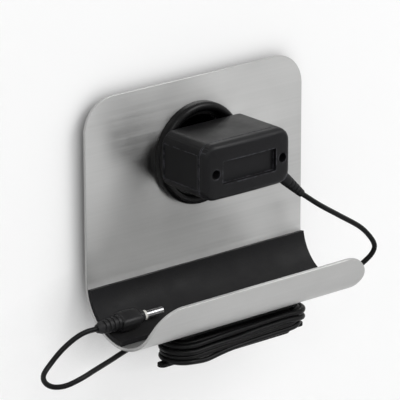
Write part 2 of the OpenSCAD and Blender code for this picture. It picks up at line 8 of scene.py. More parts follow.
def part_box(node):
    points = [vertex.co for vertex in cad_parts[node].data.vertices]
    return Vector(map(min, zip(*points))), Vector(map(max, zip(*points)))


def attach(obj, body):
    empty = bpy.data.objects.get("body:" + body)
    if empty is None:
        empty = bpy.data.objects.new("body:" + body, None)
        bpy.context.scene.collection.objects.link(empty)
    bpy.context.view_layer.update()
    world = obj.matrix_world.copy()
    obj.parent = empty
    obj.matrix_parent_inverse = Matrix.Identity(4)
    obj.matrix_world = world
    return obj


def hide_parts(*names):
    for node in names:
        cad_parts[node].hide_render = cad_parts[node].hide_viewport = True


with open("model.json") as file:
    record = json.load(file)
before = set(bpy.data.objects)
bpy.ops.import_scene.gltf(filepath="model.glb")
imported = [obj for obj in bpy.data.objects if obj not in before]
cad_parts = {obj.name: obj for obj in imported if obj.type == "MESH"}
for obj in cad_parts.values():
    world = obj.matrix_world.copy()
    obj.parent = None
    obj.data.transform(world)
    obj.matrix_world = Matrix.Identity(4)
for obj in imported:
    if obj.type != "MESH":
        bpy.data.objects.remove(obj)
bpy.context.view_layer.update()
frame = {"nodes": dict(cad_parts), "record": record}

nodes = frame["nodes"]
scene = bpy.context.scene
scene.view_settings.view_transform = "Standard"
mm = 0.001
rad = math.radians


def clamp(value, low=0.0, high=1.0):
    return min(max(value, low), high)


def addObject(name, data):
    added = bpy.data.objects.new(name, data)
    scene.collection.objects.link(added)
    return added


def meshFrom(name, bm):
    mesh = bpy.data.meshes.new(name)
    bm.to_mesh(mesh)
    bm.free()
    return mesh


cameraFit = {
    "azimuth": -39.67, "elevation": 18.77, "roll": -0.09,    # degrees
    "shiftX": -2.52, "shiftY": -25.25, "distance": 1515.93,  # in steps of "unit"
    "unit": 125 / 120, "origin": (0.0, -17.0, -51.04),       # mm
    "lens": 315.0, "sensor": 36.0,                           # mm
    "near": 0.05, "far": 20.0,                               # m
}


def makeCamera(fit):
    a, e, r = (rad(fit[k]) for k in ("azimuth", "elevation", "roll"))
    back = Vector((math.sin(a) * math.cos(e), -math.cos(a) * math.cos(e), math.sin(e)))
    right = Vector((math.cos(a), math.sin(a), 0))
    up = Vector((-math.sin(a) * math.sin(e), math.cos(a) * math.sin(e), math.cos(e)))
    right, up = right * math.cos(r) + up * math.sin(r), up * math.cos(r) - right * math.sin(r)
    place = (back * fit["distance"] - right * fit["shiftX"] - up * fit["shiftY"]) * fit["unit"]
    place = (place + Vector(fit["origin"])) * mm
    data = bpy.data.cameras.new("camera")
    data.lens = fit["lens"]
    data.sensor_width = fit["sensor"]
    data.clip_start = fit["near"]
    data.clip_end = fit["far"]
    camera = addObject("camera", data)
    camera.matrix_world = Matrix((
        (right.x, up.x, back.x, place.x), (right.y, up.y, back.y, place.y),
        (right.z, up.z, back.z, place.z), (0, 0, 0, 1)))
    scene.camera = camera


makeCamera(cameraFit)
print("camera placed")

# the cord, in mm: from the charger down to the winder, then from the winder to the connector
cordRoute = {
    "diameter": 2.4, "rounding": 4, "spacing": 1.2,
    "length": 1.6,                                           # m, as stated
    "freeSteps": 10, "woundSteps": 3,                        # steps of the smooth line to each stretch
    "relaxTimes": 8, "relaxBeyond": 6,                       # the second in points
    "exit": (35.784, -49.2, -19.517),
    "right": [(46, -50, -27), (58.5, -50, -35), (70, -50.5, -42.5), (76, -51, -48.5), (79, -51, -53.5),
              (78.5, -50, -57.5), (75.5, -48.5, -61), (71.5, -46.5, -64.5), (68.5, -43, -68.5),
              (65.5, -39, -72.8), (60.5, -35.3, -75.9), (53.5, -33.2, -77.5), (45, -32.8, -78.1)],
    "left": [(-42, -33.0, -76.9), (-49.5, -35.8, -75.5), (-56, -38.7, -74.8), (-62, -41.2, -74.6),
             (-69, -43.5, -75), (-80.6, -47.9, -75), (-91, -50.3, -76.1), (-98.3, -49.2, -77.8),
             (-102.2, -45.5, -78.5), (-102.9, -40.6, -77.9), (-100.4, -36.2, -76.2), (-94.6, -33.9, -73),
             (-88, -33.4, -68.5), (-81.2, -33.9, -64.7), (-75.5, -34.2, -63.1)],
    "connector": (-69.3, -34, -63.192),
}
# a row of "turns" gives radius and height of the cord's line at the left post's back, end and front,
# then at the right post's front, end and back, then the front run's sag and where that is deepest
winding = {
    "middle": (1.0, -41.7), "halfPitch": 28.0,
    "postSteps": 12, "runSteps": 12, "lastSteps": 5, "sagWidth": 0.14,
    "entry": [(36, -32.8, -78.2), (29, -33.3, -78.2), (20, -35.0, -78.3)],
    "exit": [(10, -30.2, -80.5), (-8, -30.2, -78.8), (-27, -30.5, -77.2), (-34, -31.2, -77.1)],
    "turns": [
        ((6.5, -78.3), (6.5, -78.3), (6.5, -78.3), (6.5, -78.1), (6.5, -79.0), (6.5, -80.5), 0, 0.5),
        ((6.5, -80.7), (6.5, -80.8), (6.5, -80.8), (6.5, -80.4), (6.5, -81.4), (6.5, -82.8), 0, 0.5),
        ((6.5, -83.0), (6.5, -83.1), (6.5, -83.1), (6.5, -82.7), (8.4, -83.0), (8.9, -83.0), 0, 0.5),
        ((8.9, -83.2), (10.4, -83.3), (9.1, -83.9), (8.9, -82.0), (9.6, -80.9), (8.9, -80.7), -1.1, 0.1),
        ((8.9, -81.0), (9.8, -81.1), (8.9, -81.7), (9.0, -79.6), (8.2, -77.2), (6.5, -75.9), -0.3, 0.3),
        ((6.5, -75.9), (6.5, -75.9), (6.5, -75.9), (6.5, -75.6), (9.9, -75.5), (8.9, -75.7), 0, 0.5),
        ((8.9, -76.1), (9.6, -76.2), (8.9, -76.6), (8.9, -74.9), (12.3, -76.0), (11.3, -76.3), -0.2, 0.6),
        ((8.9, -78.7), (10.6, -78.6), (9.7, -79.2), (9.7, -77.3), (11.9, -79.8), (11.3, -81.2), -0.6, 0.4),
    ],
}


def lengthOf(line):
    return sum((b - a).length for a, b in zip(line, line[1:]))


# a curve through the points, with so many steps to each stretch
def smoothLine(points, steps):
    out, last = [], len(points) - 1
    for i in range(last):
        a = points[i - 1] if i else 2 * points[0] - points[1]
        b, c = points[i], points[i + 1]
        d = points[i + 2] if i + 2 <= last else 2 * points[last] - points[last - 1]
        for t in (j / steps for j in range(steps)):
            out.append(0.5 * (2 * b + (c - a) * t + (2 * a - 5 * b + 4 * c - d) * t ** 2
                              + (3 * b - a - 3 * c + d) * t ** 3))
    return out + [points[last]]


# the same line with its points evenly spaced
def evenLine(points, spacing):
    count = max(2, round(lengthOf(points) / spacing))
    step = lengthOf(points) / count
    out, at, past = [points[0]], 0, 0.0
    for i in range(1, count):
        while past + (points[at + 1] - points[at]).length < step * i:
            past += (points[at + 1] - points[at]).length
            at += 1
        share = (step * i - past) / (points[at + 1] - points[at]).length
        out.append(points[at].lerp(points[at + 1], share))
    return out + [points[-1]]


# the wound part: in along the back, round the left post, along the front, round the right post
def windingLine(w):
    cx, cy = w["middle"]
    line = [Vector(p) for p in w["entry"]]

    # half a turn, on the curve through its three stations
    def roundPost(side, stations, fromAngle):
        for i in range(w["postSteps"] + 1):
            t = i / w["postSteps"]
            weight = ((1 - t) * (1 - 2 * t), 4 * t * (1 - t), t * (2 * t - 1))
            r, z = (sum(k * s[n] for k, s in zip(weight, stations)) for n in (0, 1))
            a = rad(fromAngle + 180 * t)
            line.append(Vector((cx + side * w["halfPitch"] + r * math.cos(a), cy + r * math.sin(a), z)))

    # a run of even pace along x that eases into its goal, and may sag in one place
    def straightRun(goal, steps, sag=0.0, sagAt=0.5):
        start = line[-1].copy()
        for i in range(1, steps):
            t = i / steps
            p = goal + (start - goal) * (1 - t) ** 2
            p.x = start.x + (goal.x - start.x) * t
            p.z += sag * math.exp(-((t - sagAt) / w["sagWidth"]) ** 2)
            line.append(p)

    for turn in w["turns"]:
        back, front = turn[0], turn[3]
        straightRun(Vector((cx - w["halfPitch"], cy + back[0], back[1])), w["runSteps"])
        roundPost(-1, turn[0:3], 90)
        straightRun(Vector((cx + w["halfPitch"], cy - front[0], front[1])), w["runSteps"], *turn[6:8])
        roundPost(1, turn[3:6], -90)
    straightRun(Vector(w["exit"][0]), w["lastSteps"])
    return line + [Vector(p) for p in w["exit"]]


def cordLine(route, w):
    spacing, beyond = route["spacing"], route["relaxBeyond"]
    right = smoothLine([Vector(p) for p in (route["exit"], *route["right"])], route["freeSteps"])
    left = smoothLine([Vector(p) for p in (*route["left"], route["connector"])], route["freeSteps"])
    line = evenLine(right + smoothLine(windingLine(w), route["woundSteps"]) + left, spacing)
    first = int(lengthOf(right) / spacing) - beyond
    last = len(line) - int(lengthOf(left) / spacing) + beyond
    for _ in range(route["relaxTimes"]):                     # the turns and their two ends relax a little
        line[first:last] = [(line[i - 1] + 2 * line[i] + line[i + 1]) / 4 for i in range(first, last)]
    return line


def makeCord(route, w):
    line = cordLine(route, w)
    data = bpy.data.curves.new("cord_line", "CURVE")
    data.dimensions = "3D"
    data.bevel_depth = route["diameter"] / 2 * mm
    data.bevel_resolution = route["rounding"]
    data.use_fill_caps = True
    spline = data.splines.new("POLY")
    spline.points.add(len(line) - 1)
    for point, place in zip(spline.points, line):
        point.co = (*(place * mm), 1)
    tube = addObject("cord_line", data)
    mesh = bpy.data.meshes.new_from_object(tube.evaluated_get(bpy.context.evaluated_depsgraph_get()))
    bpy.data.objects.remove(tube)
    mesh.shade_smooth()
    cord = addObject("phone_cord", mesh)
    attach(cord, "root")
    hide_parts("cord_right", "cord_hank", "cord_left")
    print("cord of", round(lengthOf(line) * mm, 4), "m through", len(line), "points")
    return cord, [place * mm for place in line]


phoneCord, cordPath = makeCord(cordRoute, winding)

# in mm and degrees: what a copy joins and flattens, which of its edges are eased, which are shaded sharp
copyRules = {"join": 0.01, "flat": 0.4, "hard": 32, "sharp": 35, "normalWeight": 80}


# shade a finished bmesh, make it a piece and hide the nodes it stands for
def newPiece(name, bm, slotName, *replaced):
    for face in bm.faces:
        face.smooth = True
    for edge in bm.edges:
        edge.smooth = len(edge.link_faces) == 2 and edge.calc_face_angle(0) < rad(copyRules["sharp"])
    mesh = meshFrom(name, bm)
    if "custom_normal" in mesh.attributes:
        mesh.attributes.remove(mesh.attributes["custom_normal"])
    piece = addObject(name, mesh)
    shading = piece.modifiers.new("even shading", "WEIGHTED_NORMAL")
    shading.keep_sharp = True
    shading.weight = copyRules["normalWeight"]
    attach(piece, "root")
    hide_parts(*replaced)
    return piece


def hardEdges(bm, angle):
    return [e for e in bm.edges if len(e.link_faces) == 2 and e.calc_face_angle(0) > rad(angle)]


def bevel(bm, geom, offset, segments, affect="EDGES"):
    bmesh.ops.bevel(bm, geom=geom, offset=offset, offset_type="OFFSET", segments=segments, profile=0.5,
                    affect=affect, clamp_overlap=True, material=-1)


# bevel each run of joined edges by itself, so that one short edge does not hold back the rest
def easeEdges(bm, edges, width, segments):
    bm.edges.index_update()
    left = {edge.index: edge for edge in edges}
    runs = []
    while left:
        todo, run = [left.pop(next(iter(left)))], []
        while todo:
            run.append(todo.pop())
            todo += [left.pop(e.index) for v in run[-1].verts for e in v.link_edges if e.index in left]
        runs.append(run)
    for run in runs:
        bevel(bm, run, width * mm, segments)


# a copy of a CAD node with its triangles joined, brought onto a form if one is given, its hard edges eased
def easedCopy(node, name, slotName, width, segments, form=None, cuts=False):
    bm = bmesh.new()
    bm.from_mesh(nodes[node].data)
    bmesh.ops.remove_doubles(bm, verts=bm.verts, dist=copyRules["join"] * mm)
    bmesh.ops.dissolve_limit(bm, angle_limit=rad(copyRules["flat"]), verts=bm.verts, edges=bm.edges)
    if form and cuts:
        cutOutside(bm, form)
    if form:
        roundHousing(bm, form)
    if form and cuts:
        easeRims(bm, form)
    easeEdges(bm, hardEdges(bm, copyRules["hard"]), width, segments)
    return newPiece(name, bm, slotName, node)


# the charger's housing, in mm: its outside has its corners and its front rolled as one
housingForm = {
    "middle": (0.8, 2.2), "half": (24.75, 13.0), "plainCorner": 5.0, "corner": 6.4,
    "front": -54.2, "frontRoll": 3.0, "crown": 0.6, "rear": -23.4, "rearRoll": 1.2,
    "skin": 0.06, "join": 0.02, "sliver": 0.005,             # how near counts: on it, one point, a sliver
    "fan": 9, "frontCuts": 4, "frontCutPitch": 3.9,
    "rimInsets": (1.0, 2.0, 3.0), "rimDepth": 1.0, "rollMargin": 0.1,
    "rimAngle": 60, "rimSteps": 3, "nearParting": 0.01, "nearSide": 0.05, "nearFront": 0.1, "nearEnd": 0.25,
    "parting": -49.2, "partingGap": 0.4, "partingEase": 0.4,
    "recess": (1.3, 1.7, 15.4, 5.3), "recessEase": 0.5,      # its middle, then how far it reaches
    "panel": (-48.0, -24.6, 8.1), "panelEase": 0.35,         # its front, its rear, its reach up and down
}


# how far a place lies outside the rounded outline, and the way out
def fromOutline(x, z, corner, f):
    u, v = x - f["middle"][0], z - f["middle"][1]
    a, b = abs(u) - f["half"][0] + corner, abs(v) - f["half"][1] + corner
    if a > 0 and b > 0:
        r = math.hypot(a, b)
        return r - corner, Vector((math.copysign(a / r, u), 0, math.copysign(b / r, v)))
    if a > b:
        return a - corner, Vector((math.copysign(1, u), 0, 0))
    return b - corner, Vector((0, 0, math.copysign(1, v)))


# the nearer end of the housing: its roll, the depth of a place behind it, and the way in
def nearerEnd(x, y, f):
    if y - f["front"] < f["rear"] - y:
        bow = f["crown"] * ((x - f["middle"][0]) / f["half"][0]) ** 2
        return f["frontRoll"], y - f["front"] - bow, Vector((0, 1, 0))
    return f["rearRoll"], f["rear"] - y, Vector((0, -1, 0))


# whether a vertex lies on the plain construction's outside, whose rolled ends meet in mitres
def onOutside(v, f):
    x, y, z = v.co / mm
    roll, depth, inward = nearerEnd(x, y, f)
    end = depth if inward.y < 0 else y - f["front"]
    inset = roll - math.sqrt(max(0.0, roll ** 2 - max(0.0, roll - end) ** 2))
    sides = min(f["half"][0] - abs(x - f["middle"][0]), f["half"][1] - abs(z - f["middle"][1]))
    under = min(-fromOutline(x, z, f["plainCorner"], f)[0], sides - inset, depth)
    return abs(under) < f["skin"]


# fan cuts through the rounded corners, cuts across the bowed front and along its rolled rim
def cutOutside(bm, f):
    mx, mz = f["middle"]
    rimEnd, rollEnd = f["front"] + f["rimDepth"], f["front"] + f["frontRoll"] + f["rollMargin"]

    def cut(place, normal, test):
        faces = [face for face in bm.faces if test(face.calc_center_median() / mm)
                 and all(onOutside(v, f) for v in face.verts)]
        edges = dict.fromkeys(e for face in faces for e in face.edges)
        verts = dict.fromkeys(v for face in faces for v in face.verts)
        bmesh.ops.bisect_plane(bm, geom=[*verts, *edges, *faces], dist=copyRules["join"] * mm,
                               plane_co=Vector(place) * mm, plane_no=normal)

    for su in (-1, 1):
        for sv in (-1, 1):
            cx, cz = mx + su * (f["half"][0] - f["corner"]), mz + sv * (f["half"][1] - f["corner"])
            cut((cx, 0, cz), (1, 0, 0), lambda c: True)
            cut((cx, 0, cz), (0, 0, 1), lambda c: True)
            for i in range(1, f["fan"]):
                a = rad(90 * i / f["fan"])
                cut((cx, 0, cz), (-sv * math.sin(a), 0, su * math.cos(a)),
                    lambda c: su * (c.x - cx) > 0 and sv * (c.z - cz) > 0)
    for step in range(-f["frontCuts"], f["frontCuts"] + 1):
        cut((mx + f["frontCutPitch"] * step, 0, 0), (1, 0, 0), lambda c: c.y < rollEnd)
    for inset in f["rimInsets"]:
        for side in (-1, 1):
            cut((mx + side * (f["half"][0] - inset), 0, 0), (1, 0, 0), lambda c: c.y < rimEnd)
            cut((0, 0, mz + side * (f["half"][1] - inset)), (0, 0, 1), lambda c: c.y < rimEnd)


# bring what lies on the plain outside onto the rolled one
def roundHousing(bm, f):
    moves = []
    for v in bm.verts:
        if onOutside(v, f):
            x, y, z = v.co / mm
            out, way = fromOutline(x, z, f["corner"], f)
            roll, depth, inward = nearerEnd(x, y, f)
            a, b = max(0.0, out + roll), max(0.0, roll - depth)
            past = math.hypot(a, b)
            if past > 0:
                moves.append((v, (inward * b - way * a) * ((past - roll) / past)))
    for v, move in moves:
        v.co += move * mm
    bmesh.ops.remove_doubles(bm, verts=bm.verts, dist=f["join"] * mm)
    bmesh.ops.dissolve_degenerate(bm, dist=f["sliver"] * mm, edges=bm.edges)


# ease the parting line, then the rims of the front recess and of the end faces' panels
def easeRims(bm, f):
    middleX, middleZ, reachX, reachZ = f["recess"]
    panelFront, panelRear, panelReach = f["panel"]

    def atParting(x, y, z):
        onLine = abs(abs(y - f["parting"]) - f["partingGap"] / 2) < f["nearParting"]
        return onLine and abs(fromOutline(x, z, f["corner"], f)[0]) < f["nearSide"]

    def atRecess(x, y, z):
        onFront = abs(nearerEnd(x, y, f)[1]) < f["nearFront"]
        return onFront and abs(x - middleX) < reachX and abs(z - middleZ) < reachZ

    def atPanel(x, y, z):
        onEnd = abs(abs(x - f["middle"][0]) - f["half"][0]) < f["nearEnd"]
        return onEnd and panelFront < y < panelRear and abs(z - f["middle"][1]) < panelReach

    for test, ease in ((atParting, "partingEase"), (atRecess, "recessEase"), (atPanel, "panelEase")):
        rim = [e for e in hardEdges(bm, f["rimAngle"]) if all(test(*v.co / mm) for v in e.verts)]
        easeEdges(bm, rim, f[ease], f["rimSteps"])


steelTraySizes = {
    "width": 125.0, "thickness": 1.5, "flatHeight": 83.0, "bendRadius": 23.2, "bendAngle": 158.0,
    "lip": 8.5, "corner": 15.5, "cornerSteps": 28, "hole": 19.2, "holeSteps": 96,
    "screwHole": 1.65, "screwSteps": 24, "screwPitch": 56.0, "screwMiddle": 1.0,
    "bendY": -41.7, "bendZ": -47.7, "bendSteps": 48, "edgeRound": 0.3, "edgeSteps": 2, "edgeAngle": 60,
    "flatAngle": 1, "join": 0.001, "uvUnit": 100, "rimUpright": 0.95, "rimScale": 0.7, "rimWrap": 2.5,
}


# cut flat with its holes, given its thickness and eased rim, then bent along the tray
def makeSteelTray(s):
    arc = s["bendRadius"] * rad(s["bendAngle"])
    top, low = s["bendZ"] + s["flatHeight"], s["bendZ"] - arc - s["lip"]
    lowest = s["bendZ"] - arc * 90 / s["bendAngle"]
    bm = bmesh.new()
    bmesh.ops.create_grid(bm, x_segments=1, y_segments=1, size=0.5)
    bmesh.ops.scale(bm, verts=bm.verts, vec=(s["width"], top - low, 1))
    bmesh.ops.translate(bm, verts=bm.verts, vec=(0, (top + low) / 2, 0))
    bevel(bm, list(bm.verts), s["corner"], s["cornerSteps"], "VERTICES")
    bmesh.ops.delete(bm, geom=list(bm.faces), context="FACES_ONLY")
    holes = [(0, 0, s["hole"], s["holeSteps"])]
    for side in (-1, 1):
        x = s["screwMiddle"] + side * s["screwPitch"] / 2
        holes.append((x, lowest, s["screwHole"], s["screwSteps"]))
    for x, y, r, count in holes:
        bmesh.ops.create_circle(bm, cap_ends=False, segments=count, radius=r,
                                matrix=Matrix.Translation((x, y, 0)))
    bmesh.ops.triangle_fill(bm, use_beauty=True, use_dissolve=False, edges=list(bm.edges),
                            normal=(0, 0, 1))
    bmesh.ops.dissolve_limit(bm, angle_limit=rad(s["flatAngle"]), verts=bm.verts, edges=bm.edges)
    bmesh.ops.solidify(bm, geom=bm.faces[:], thickness=s["thickness"])
    bevel(bm, hardEdges(bm, s["edgeAngle"]), s["edgeRound"], s["edgeSteps"])
    bmesh.ops.triangulate(bm, faces=[f for f in bm.faces if len(f.verts) > 4])
    for i in range(s["bendSteps"] + 1):
        y = s["bendZ"] - arc * i / s["bendSteps"]
        bmesh.ops.bisect_plane(bm, geom=[*bm.verts, *bm.edges, *bm.faces], plane_co=(0, y, 0),
                               plane_no=(0, 1, 0))
    bm.normal_update()
    layFlatMap(bm, s, top, low)
    for v in bm.verts:
        past, radius = s["bendZ"] - v.co.y, s["bendRadius"] + abs(v.co.z)
        a = clamp(past, 0.0, arc) / s["bendRadius"]
        rest = past - a * s["bendRadius"]                    # negative above the bend, positive beyond it
        v.co = Vector((v.co.x, s["bendY"] + radius * math.cos(a) - rest * math.sin(a),
                       s["bendZ"] - radius * math.sin(a) - rest * math.cos(a)))
    bmesh.ops.scale(bm, verts=bm.verts, vec=(mm, mm, mm))
    bmesh.ops.remove_doubles(bm, verts=bm.verts, dist=s["join"] * mm)
    bmesh.ops.recalc_face_normals(bm, faces=bm.faces)
    return newPiece("steel_tray", bm, "sheet_steel", "holder_sheet")


# the brushing follows the flat sheet, in decimetres, and on the rim it runs along the cut edge
def layFlatMap(bm, s, top, low):
    flat = bm.loops.layers.uv.new("flat")
    for face in bm.faces:
        rim = abs(face.normal.z) < s["rimUpright"]
        for loop in face.loops:
            x, y, z = loop.vert.co
            turn = math.atan2(y - (top + low) / 2, x)
            if rim and abs(turn) > s["rimWrap"]:             # no jump behind the sheet's left side
                turn = turn % math.tau
            if rim:
                loop[flat].uv = (abs(z) / s["uvUnit"], turn * s["rimScale"])
            else:
                loop[flat].uv = ((top - y) / s["uvUnit"], (x + s["width"] / 2) / s["uvUnit"])


# node, piece, slot, width and steps of its eased edges, then the form it is brought onto, cut for it or not
easedCopies = [
    ("tray_liner", "tray_mat", "liner_rubber", 0.35, 3),
    ("socket_collar", "collar_ring", "collar_plastic", 0.2, 2),
    ("cable_winder", "cord_winder", "winder_plastic", 0.4, 3),
    ("charger_rear_shell", "charger_body", "shell_plastic", 0.2, 2, housingForm, True),
    ("charger_front_cover", "charger_cover", "cover_plastic", 0.2, 2, housingForm, True),
    ("charger_strain_relief", "charger_relief", "relief_rubber", 0.15, 2, housingForm, False),
    ("connector_relief", "connector_boot", "boot_rubber", 0.15, 2),
    ("connector_body", "connector_grip", "grip_plastic", 0.3, 3),
    ("connector_barrel", "connector_tip", "barrel_metal", 0.15, 2),
]
pieces = {"sheet_steel": makeSteelTray(steelTraySizes)}
for row in easedCopies:
    pieces[row[2]] = easedCopy(*row)

connectorAxis = (-34.0, -63.192)
bootFlare = {"from": -69.3, "length": 12.0, "taper": 2.4, "atRib": 1.38, "atGrip": 1.14}
gripSwell = {
    "from": -57.3, "length": 11.5, "cuts": 12, "waist": 1.04, "nose": 0.7,
    "waistAt": 0.25, "noseAt": 0.5, "reach": (-0.1, 1.005),  # shares of the length
}


# scale vertices about the connector's axis, by a factor that changes along it
def swell(verts, start, factorAt):
    ay, az = connectorAxis
    for v in verts:
        x, y, z = v.co / mm
        k = factorAt(x - start)
        v.co = Vector((x, ay + (y - ay) * k, az + (z - az) * k)) * mm


# the boot's ribs are thicker than in the plain construction, and it tapers to the cord
def flareBoot(piece, f):
    def factorAt(along):
        k = f["atRib"] + (f["atGrip"] - f["atRib"]) * clamp(along / f["length"])
        return 1 + (k - 1) * clamp(along / f["taper"])

    swell(piece.data.vertices, f["from"], factorAt)


# the grip swells a little and its nose is rounded off
def swellGrip(piece, f):
    def factorAt(along):
        t = along / f["length"]
        if t < f["noseAt"]:
            return 1 + (f["waist"] - 1) * clamp(t / f["waistAt"])
        rounded = math.sqrt(1 - clamp((t - f["noseAt"]) / (1 - f["noseAt"])) ** 2)
        return f["nose"] + (f["waist"] - f["nose"]) * rounded

    bm = bmesh.new()
    bm.from_mesh(piece.data)
    for i in range(1, f["cuts"]):
        place = Vector((f["from"] + f["length"] * i / f["cuts"], 0, 0)) * mm
        bmesh.ops.bisect_plane(bm, geom=[*bm.verts, *bm.edges, *bm.faces], dist=copyRules["join"] * mm,
                               plane_co=place, plane_no=(1, 0, 0))
    low, high = f["reach"]
    inReach = [v for v in bm.verts if low < (v.co.x / mm - f["from"]) / f["length"] < high]
    swell(inReach, f["from"], factorAt)
    bm.to_mesh(piece.data)
    bm.free()


flareBoot(pieces["boot_rubber"], bootFlare)
swellGrip(pieces["grip_plastic"], gripSwell)
print("steel tray bent, moulded pieces eased")


# set a node's inputs to values, or link them to other nodes' outputs
def giveInputs(tree, node, inputs):
    for key, value in inputs.items():
        if isinstance(value, bpy.types.NodeSocket):
            tree.links.new(value, node.inputs[key])
        else:
            node.inputs[key].default_value = value


# a node with its settings, then its inputs
def addNode(tree, kind, inputs=None, **settings):
    node = tree.nodes.new("ShaderNode" + kind)
    for key, value in settings.items():
        setattr(node, key, value)
    giveInputs(tree, node, inputs or {})
    return node


def math2(tree, operation, a, b, clamped=False):
    return addNode(tree, "Math", {0: a, 1: b}, operation=operation, use_clamp=clamped).outputs[0]


def times(tree, a, b):
    return math2(tree, "MULTIPLY", a, b)


def absolute(tree, value):
    return math2(tree, "ABSOLUTE", value, 0.0)


def remap(tree, value, fromLow, fromHigh, toLow=0.0, toHigh=1.0):
    return addNode(tree, "MapRange", {0: value, 1: fromLow, 2: fromHigh, 3: toLow, 4: toHigh}).outputs[0]


def noise(tree, vector, scale, detail=2.0, rough=0.5):
    inputs = {"Vector": vector, "Scale": scale, "Detail": detail, "Roughness": rough}
    return addNode(tree, "TexNoise", inputs).outputs[0]


def stretched(tree, vector, scale):
    return addNode(tree, "Mapping", {"Vector": vector, "Scale": scale}).outputs[0]


def split(tree, vector):
    return addNode(tree, "SeparateXYZ", {0: vector}).outputs


def trueNormal(tree):
    return addNode(tree, "NewGeometry").outputs["Normal"]


def blend(tree, factor, a, b):
    a, b = (c if isinstance(c, bpy.types.NodeSocket) else (*c, 1) for c in (a, b))
    return addNode(tree, "Mix", {0: factor, 6: a, 7: b}, data_type="RGBA").outputs[2]


# shader groups: each takes a place and puts out values that change over the surface
def newGroup(name, outputs, **inputs):
    group = bpy.data.node_groups.new(name, "ShaderNodeTree")
    group.interface.new_socket(name="Vector", in_out="INPUT", socket_type="NodeSocketVector")
    for label, value in inputs.items():
        socket = group.interface.new_socket(name=label, in_out="INPUT", socket_type="NodeSocketFloat")
        socket.default_value = value
    for label in outputs:
        group.interface.new_socket(name=label, in_out="OUTPUT", socket_type="NodeSocketFloat")
    return group, group.nodes.new("NodeGroupInput").outputs, group.nodes.new("NodeGroupOutput")


# a noise is given by its scale, detail and roughness
grainSizes = {
    "scale": 2200.0, "fine": (3.0, 0.55), "fineShare": 0.7,  # the fine noise has the group's own scale
    "patch": (70.0, 4.0, 0.6), "range": (0.36, 0.66),
}


# the fine spark grain of a mould, with broader patches of handling
def makeGrainGroup(s):
    group, given, out = newGroup("mouldedGrain", ("Height", "Patch"), Scale=s["scale"])
    fine = noise(group, given["Vector"], given["Scale"], *s["fine"])
    cells = addNode(group, "TexVoronoi", {"Vector": given["Vector"], "Scale": given["Scale"]}).outputs[0]
    height = addNode(group, "Math", {0: fine, 1: s["fineShare"], 2: cells}, operation="MULTIPLY_ADD")
    patch = noise(group, given["Vector"], *s["patch"])
    giveInputs(group, out, {"Height": height.outputs[0], "Patch": remap(group, patch, *s["range"])})
    return group


# each kind of line has its stretch, then its roughness
brushSizes = {
    "Height": ((620, 3.0, 1), 0.6), "Streak": ((90, 0.55, 1), 0.55), "Cloud": ((2.2, 1.1, 1), 0.5),
    "detail": 3.0, "range": (0.3, 0.7),
}


# lines of a sheet brushed along its second coordinate
def makeBrushGroup(s):
    group, given, out = newGroup("brushedLines", ("Height", "Streak", "Cloud"))
    for label in ("Height", "Streak", "Cloud"):
        stretch, rough = s[label]
        value = noise(group, stretched(group, given["Vector"], stretch), 1.0, s["detail"], rough)
        giveInputs(group, out, {label: value if label == "Height" else remap(group, value, *s["range"])})
    return group


dustSizes = {
    "amount": 0.2, "facing": (0.1, 1.0), "specks": (1500.0, 2.0, 0.7), "speckRange": (0.6, 0.75),
    "film": (120.0, 3.0, 0.6), "filmRange": (0.35, 0.8, 0.15, 0.6),
}


# dust that settles in specks on what faces up
def makeDustGroup(s):
    group, given, out = newGroup("settledDust", ("Mask",), Amount=s["amount"])
    facing = remap(group, split(group, trueNormal(group))[2], *s["facing"])
    specks = remap(group, noise(group, given["Vector"], *s["specks"]), *s["speckRange"])
    film = remap(group, noise(group, given["Vector"], *s["film"]), *s["filmRange"])
    mask = times(group, facing, math2(group, "MAXIMUM", specks, film))
    giveInputs(group, out, {"Mask": times(group, mask, given["Amount"])})
    return group


edgeSizes = {
    "reach": 0.0004, "samples": 6, "turned": (0.995, 0.9), "broken": (420.0, 3.0, 0.6), "range": (0.4, 0.62),
}


# where edges are painted bright, partly as rubbed wear and partly as a painted highlight, from how far the
# rounded normal turns from the true one
def makeEdgeGroup(s):
    group, given, out = newGroup("wornEdgesAndPaintedHighlight", ("Mask",), Reach=s["reach"])
    rounded = addNode(group, "Bevel", {"Radius": given["Reach"]}, samples=s["samples"]).outputs[0]
    same = addNode(group, "VectorMath", {0: rounded, 1: trueNormal(group)}, operation="DOT_PRODUCT")
    edge = remap(group, same.outputs["Value"], *s["turned"])
    broken = remap(group, noise(group, given["Vector"], *s["broken"]), *s["range"])
    giveInputs(group, out, {"Mask": times(group, edge, broken)})
    return group


effects = {
    "grain": makeGrainGroup(grainSizes), "brush": makeBrushGroup(brushSizes),
    "dust": makeDustGroup(dustSizes), "edge": makeEdgeGroup(edgeSizes),
}


def placeEffect(tree, effect, vector, **inputs):
    node = tree.nodes.new("ShaderNodeGroup")
    node.node_tree = effects[effect]
    giveInputs(tree, node, {"Vector": vector, **inputs})
    return node.outputs


# a new material, its nodes, its surface and the place on the object
def newFinish(name):
    material = bpy.data.materials.new(name)
    material.use_nodes = True
    tree = material.node_tree
    return material, tree, tree.nodes["Principled BSDF"], addNode(tree, "TexCoord").outputs["Object"]


# the depth of the relief is in mm
def setSurface(tree, shader, tone, roughness, height, depth, **more):
    giveInputs(tree, shader, {"Base Color": tone, "Roughness": roughness, **more})
    bump = addNode(tree, "Bump", {"Height": height, "Strength": 1.0, "Distance": depth * mm})
    tree.links.new(bump.outputs[0], shader.inputs["Normal"])


def lighter(colour, factor):
    return tuple(min(1.0, c * factor) for c in colour)


mouldedLook = {
    "grainShare": 0.2, "grainTone": 1.5, "dustTone": (0.33, 0.32, 0.3), "dustRough": 0.4,
    "coatRough": 0.06,
}


